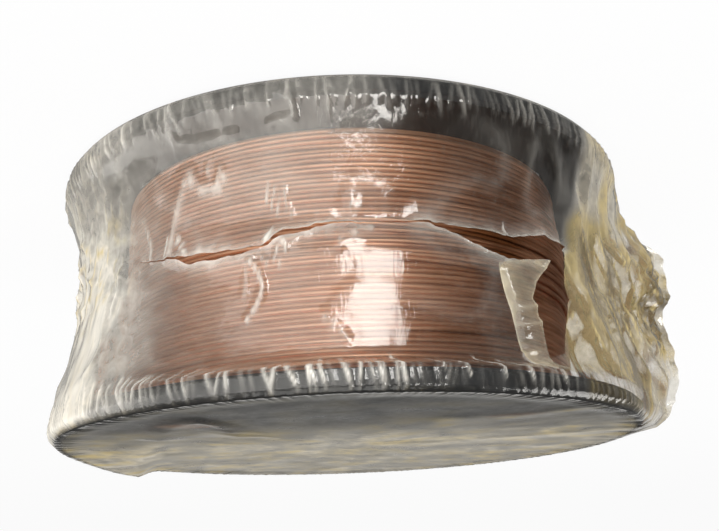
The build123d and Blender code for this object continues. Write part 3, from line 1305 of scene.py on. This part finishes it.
    def curl(self, patch: Patch, at: WallPlaces, low: Array, high: Array) -> None:
        """Turn the tear's edges outwards and whiten them.

        Args:
            patch: the wall.
            at: its places.
            low: height of the tear's lower edge in each column.
            high: height of its upper edge in each column.
        """
        opened = ease((high - low) / self.lip_opening)
        from_edge = np.where(np.arange(len(at.height))[:, None] < len(self.wall_shares()[0]),
                             low - at.height, at.height - high)
        ragged = Wander(61, 120, 2).at(at.turn, np.zeros(at.turn.shape))
        lip = opened * np.exp(-np.maximum(from_edge, 0.0) / self.lip_depth)
        patch.fold(lip * (0.55 + 0.5 * ragged), haze=0.3 * lip)

    def corner_numbers(self, grid: SkinGrid, opened: Array) -> Array:
        """Number the skin's corners, with one number where two places are one.

        Args:
            grid: the skin's points.
            opened: whether the tear is open in each column.

        Returns:
            A corner number for each point.
        """
        numbers = np.arange(grid.height.size).reshape(grid.height.shape)
        edge, tip = grid.height[:, 0], self.fin_columns
        joined = (edge <= self.fin_foot + self.fin_join) | (edge >= self.fin_head - self.fin_join)
        numbers[joined, :tip] = numbers[joined, tip][:, None]
        numbers[joined, -tip - 1:] = numbers[joined, tip][:, None]
        numbers[grid.seam, ~opened] = numbers[grid.seam - 1, ~opened]
        return numbers

    def faces(self, grid: SkinGrid, numbers: Array) -> list[list[int]]:
        """Faces between neighbouring rows and columns, without those of the tear and the notch.

        Args:
            grid: the skin's points.
            numbers: corner number of each point.

        Returns:
            Corner numbers of each face, seen from outside.
        """
        middle_turn = (grid.turn[:-1, :-1] + grid.turn[1:, 1:]) / 2
        middle_height = (grid.height[:-1, :-1] + grid.height[1:, 1:]) / 2
        left, right = along(middle_height, self.notch_left_edge), along(middle_height, self.notch_right_edge)
        torn_out = (middle_turn < left) & (middle_turn > right) & (middle_height < self.notch_head)
        torn_out[:grid.seam] = False
        torn_out[grid.brim - 1:] = False
        torn_out[grid.seam - 1] = True
        quads = np.swapaxes(grid_quads(numbers.T), 0, 1)
        faces = []
        for quad in quads[~torn_out].tolist():
            face = [corner for place, corner in enumerate(quad) if corner != quad[place - 1]]
            if len(face) >= 3 and len(set(face)) == len(face):
                faces.append(face)
        lowest, highest = (list(dict.fromkeys(numbers[row].tolist())) for row in (0, -1))
        return faces + [lowest[::-1], highest]

    def build(self) -> bpy.types.Object:
        """Build the skin with its gathered edge, and give it its looks.

        Returns:
            The skin.
        """
        turn, fin = self.columns()
        grid = self.grid(turn)
        low, high = self.tear_edges(turn)
        faces = self.faces(grid, self.corner_numbers(grid, high - low > self.tear_closed))
        edge = (np.zeros(grid.height.shape), 0.99 * grid.height / WALL_HEIGHT)
        crumple, ragged = Wander(71, 3, 40).at(*edge), Wander(72, 3, 70).at(*edge)
        out = fin * self.fin(grid.height)
        points = around(grid.turn, grid.reach + out * (1.0 + self.fin_ragged * ragged), grid.height)
        points[..., 1] += self.fin_sway * crumple * out / self.fin_reach
        used, compact = np.unique(np.concatenate([np.array(face) for face in faces]), return_inverse=True)
        ends = np.cumsum([len(face) for face in faces])[:-1]
        corners = [part.tolist() for part in np.split(compact, ends)]
        skin = mesh_piece("film_skin", points.reshape(-1, 3)[used], corners)
        give_looks(skin, {look: values.reshape(-1)[used] for look, values in grid.looks.items()})
        return skin


@dataclass
class FilmFlap:
    """The strip torn out of the notch and folded back over the wall beside it."""

    fold_line: Path = (
        (26.3, -29.6), (29.5, -31.0), (32.5, -32.6), (35.7, -33.7), (38.5, -34.6), (41.4, -36.0))
    free_edge: Path = (
        (24.2, -40.6), (27.8, -37.2), (30.2, -36.2), (32.7, -37.0), (35.2, -38.0), (37.4, -38.2),
        (41.4, -38.6))
    rows: int = 60
    columns: int = 22
    foot: float = 25.4
    foot_drop: float = 1.2
    head: float = 41.0
    stand_off: float = 0.3
    arch: float = 0.8
    ripple: float = 0.45
    crinkle: float = 0.12
    edge_share: float = 0.05

    def build(self, skin: FilmSkin) -> bpy.types.Object:
        """Build the strip on a skin's wall.

        Args:
            skin: the skin that it is torn from.

        Returns:
            The strip.
        """
        share, across = np.meshgrid(
            np.linspace(0.0, 1.0, self.rows), np.linspace(0.0, 1.0, self.columns), indexing="ij")
        foot = self.foot - self.foot_drop * across
        height = foot + share * (self.head - foot)
        left, right = along(height, self.fold_line), along(height, self.free_edge)
        turn = left + across * (right - left)
        folds, fine = Wander(81, 60, 7).crests(turn, share), Wander(82, 160, 20).at(turn, share)
        bow = np.sin(0.75 * math.pi * across) * np.sin(math.pi * (0.12 + 0.8 * share))
        stand = self.stand_off + self.arch * bow + self.ripple * folds + self.crinkle * fine
        fold_edge, torn_edge = np.exp(-across / self.edge_share), np.exp(-(1.0 - across) / self.edge_share)
        patch = Patch(skin.wall(WallPlaces(turn, height)).reach)
        patch.fold(
            stand * ease(across * 4.0 + 0.15),
            haze=0.13 + 0.2 * folds ** 3 + 0.35 * fold_edge + 0.25 * torn_edge,
            stain=0.3, dull=0.1)
        numbers = np.arange(share.size).reshape(share.shape)
        points = around(turn, patch.reach, height).reshape(-1, 3)
        flap = mesh_piece("film_flap", points, grid_quads(numbers).reshape(-1, 4).tolist())
        give_looks(flap, patch.looks())
        return flap


@dataclass
class Film:
    """The whole film: its skin and the torn strip on it."""

    skin: FilmSkin = field(default_factory=FilmSkin)
    flap: FilmFlap = field(default_factory=FilmFlap)

    def build(self) -> list[bpy.types.Object]:
        material = self.skin.finish.material()
        skin, flap = self.skin.build(), self.flap.build(self.skin)
        for piece in (skin, flap):
            dress(piece, material, Node.FILM)
        return [skin, flap]


@dataclass(frozen=True)
class Softbox:
    """A rectangular soft lamp.

    Attributes:
        name: its name.
        bearing: degrees round the object from its near side towards +X.
        elevation: degrees above the middle of the object.
        distance: distance from the axis.
        size: width and height.
        glow: how bright its face is, where 1 is the white of the ground.
    """

    name: str
    bearing: float
    elevation: float
    distance: float
    size: tuple[float, float]
    glow: float

    def build(self, middle: Vector) -> bpy.types.Object:
        """Add the lamp.

        Args:
            middle: the point that it shines at, in metres.

        Returns:
            The lamp.
        """
        turn, rise = math.radians(self.bearing), math.radians(self.elevation)
        back = Vector((math.sin(turn) * math.cos(rise), -math.cos(turn) * math.cos(rise), math.sin(rise)))
        bpy.ops.object.light_add(type="AREA", location=middle + back * self.distance * MM)
        lamp = bpy.context.object
        lamp.name = lamp.data.name = self.name
        lamp.rotation_euler = (-back).to_track_quat("-Z", "Y").to_euler()
        lamp.data.shape = "RECTANGLE"
        lamp.data.size, lamp.data.size_y = self.size[0] * MM, self.size[1] * MM
        lamp.data.energy = self.glow * math.pi * lamp.data.size * lamp.data.size_y
        lamp.visible_camera = False
        return lamp


@dataclass
class Studio:
    """White ground, soft lamps and the camera at the photograph's place, rolled as the photograph is."""

    eye: tuple[float, float, float] = (-2.873, -160.886, 65.834)
    tilt: float = 18.59
    roll: float = 177.66
    focal_pixels: float = 903.36
    sensor: float = 36.0
    middle: tuple[float, float, float] = (0.0, 0.0, 22.5)
    ground_size: float = 6000.0
    lamps: tuple[Softbox, ...] = (
        Softbox("front_window", -12.0, 3.0, 520.0, (180.0, 92.0), 11.0),
        Softbox("left_panel", 24.0, 18.0, 560.0, (560.0, 400.0), 1.68),
        Softbox("side_panel", 80.0, 22.0, 560.0, (600.0, 480.0), 1.5),
        Softbox("overhead", 20.0, 72.0, 620.0, (420.0, 420.0), 1.1),
        Softbox("copper_strip", -31.0, 42.0, 540.0, (34.0, 190.0), 11.0),
        Softbox("tail_panel", -100.0, 36.0, 560.0, (340.0, 320.0), 3.4),
    )
    ambient: float = 0.3
    bright_side: float = 0.3
    bright_span: tuple[float, float] = (-0.5, 0.8)
    dark_room: float = 0.06
    far_wall: float = 0.62
    far_wall_facing: tuple[float, float] = (0.6, 0.8)
    far_wall_span: tuple[float, float] = (-0.45, 0.6)
    far_wall_top: tuple[float, float] = (0.12, 0.168)

    def build_camera(self) -> bpy.types.Object:
        """Add the camera and make it the scene's.

        Returns:
            The camera.
        """
        tilt, roll = math.radians(self.tilt), math.radians(self.roll)
        back = Vector((0.0, -math.cos(tilt), math.sin(tilt)))
        level, upright = Vector((1.0, 0.0, 0.0)), Vector((0.0, math.sin(tilt), math.cos(tilt)))
        right = math.cos(roll) * level + math.sin(roll) * upright
        up = -math.sin(roll) * level + math.cos(roll) * upright
        bpy.ops.object.camera_add()
        camera = bpy.context.object
        camera.name = "photo_camera"
        turned = Matrix((right, up, back)).transposed().to_4x4()
        camera.matrix_world = Matrix.Translation(Vector(self.eye) * MM) @ turned
        camera.data.sensor_width = self.sensor
        camera.data.lens = self.focal_pixels / IMAGE_WIDTH * self.sensor
        camera.data.clip_start = MM
        bpy.context.scene.camera = camera
        return camera

    def build_ground(self) -> bpy.types.Object:
        """Add the ground and return it."""
        bpy.ops.mesh.primitive_plane_add(size=self.ground_size * MM)
        ground = bpy.context.object
        ground.name = ground.data.name = "pale_ground"
        ground.data.materials.append(PaleFloor().material())
        return ground

    def build_world(self) -> None:
        """Light the scene from all round, brighter from +X, and white where the camera sees past the object.

        Reflections show a dark room with a pale wall on the far side.
        """
        world = bpy.data.worlds.new("studio")
        world.use_nodes = True
        tree = Tree(world.node_tree)
        direction = tree.node("ShaderNodeTexCoord", {}, {}).outputs["Generated"]
        x, y, z = (tree.axis(direction, name) for name in "XYZ")
        facing_x, facing_y = self.far_wall_facing
        behind = (facing_x * x + facing_y * y).between(*self.far_wall_span)
        below_top = 1.0 - z.between(*self.far_wall_top)
        soft = self.ambient + self.bright_side * x.between(*self.bright_span)
        mirrored = self.dark_room + self.far_wall * below_top * behind
        glossy = tree.ray("Glossy")
        glow = soft * (1.0 - glossy) + mirrored * glossy
        room = tree.node("ShaderNodeBackground", {}, {"Color": WHITE, "Strength": glow})
        white = tree.node("ShaderNodeBackground", {}, {"Color": WHITE, "Strength": 1.0})
        tree.close("ShaderNodeOutputWorld", tree.mix(tree.seen(), room, white))
        bpy.context.scene.world = world

    def build(self) -> None:
        """Build the whole studio."""
        bpy.context.scene.view_settings.view_transform = "Standard"
        self.build_camera()
        self.build_ground()
        self.build_world()
        for lamp in self.lamps:
            lamp.build(Vector(self.middle) * MM)


def main() -> None:
    """Build the studio and the object, and report each piece."""
    logging.basicConfig(level=logging.INFO, format="%(message)s")
    Studio().build()
    pieces = [Spool().build(), *Winding().build(), *Film().build()]
    for piece in pieces:
        LOG.info("%s: %d faces", piece.name, len(piece.data.polygons))


if __name__ == "__main__":
    main()
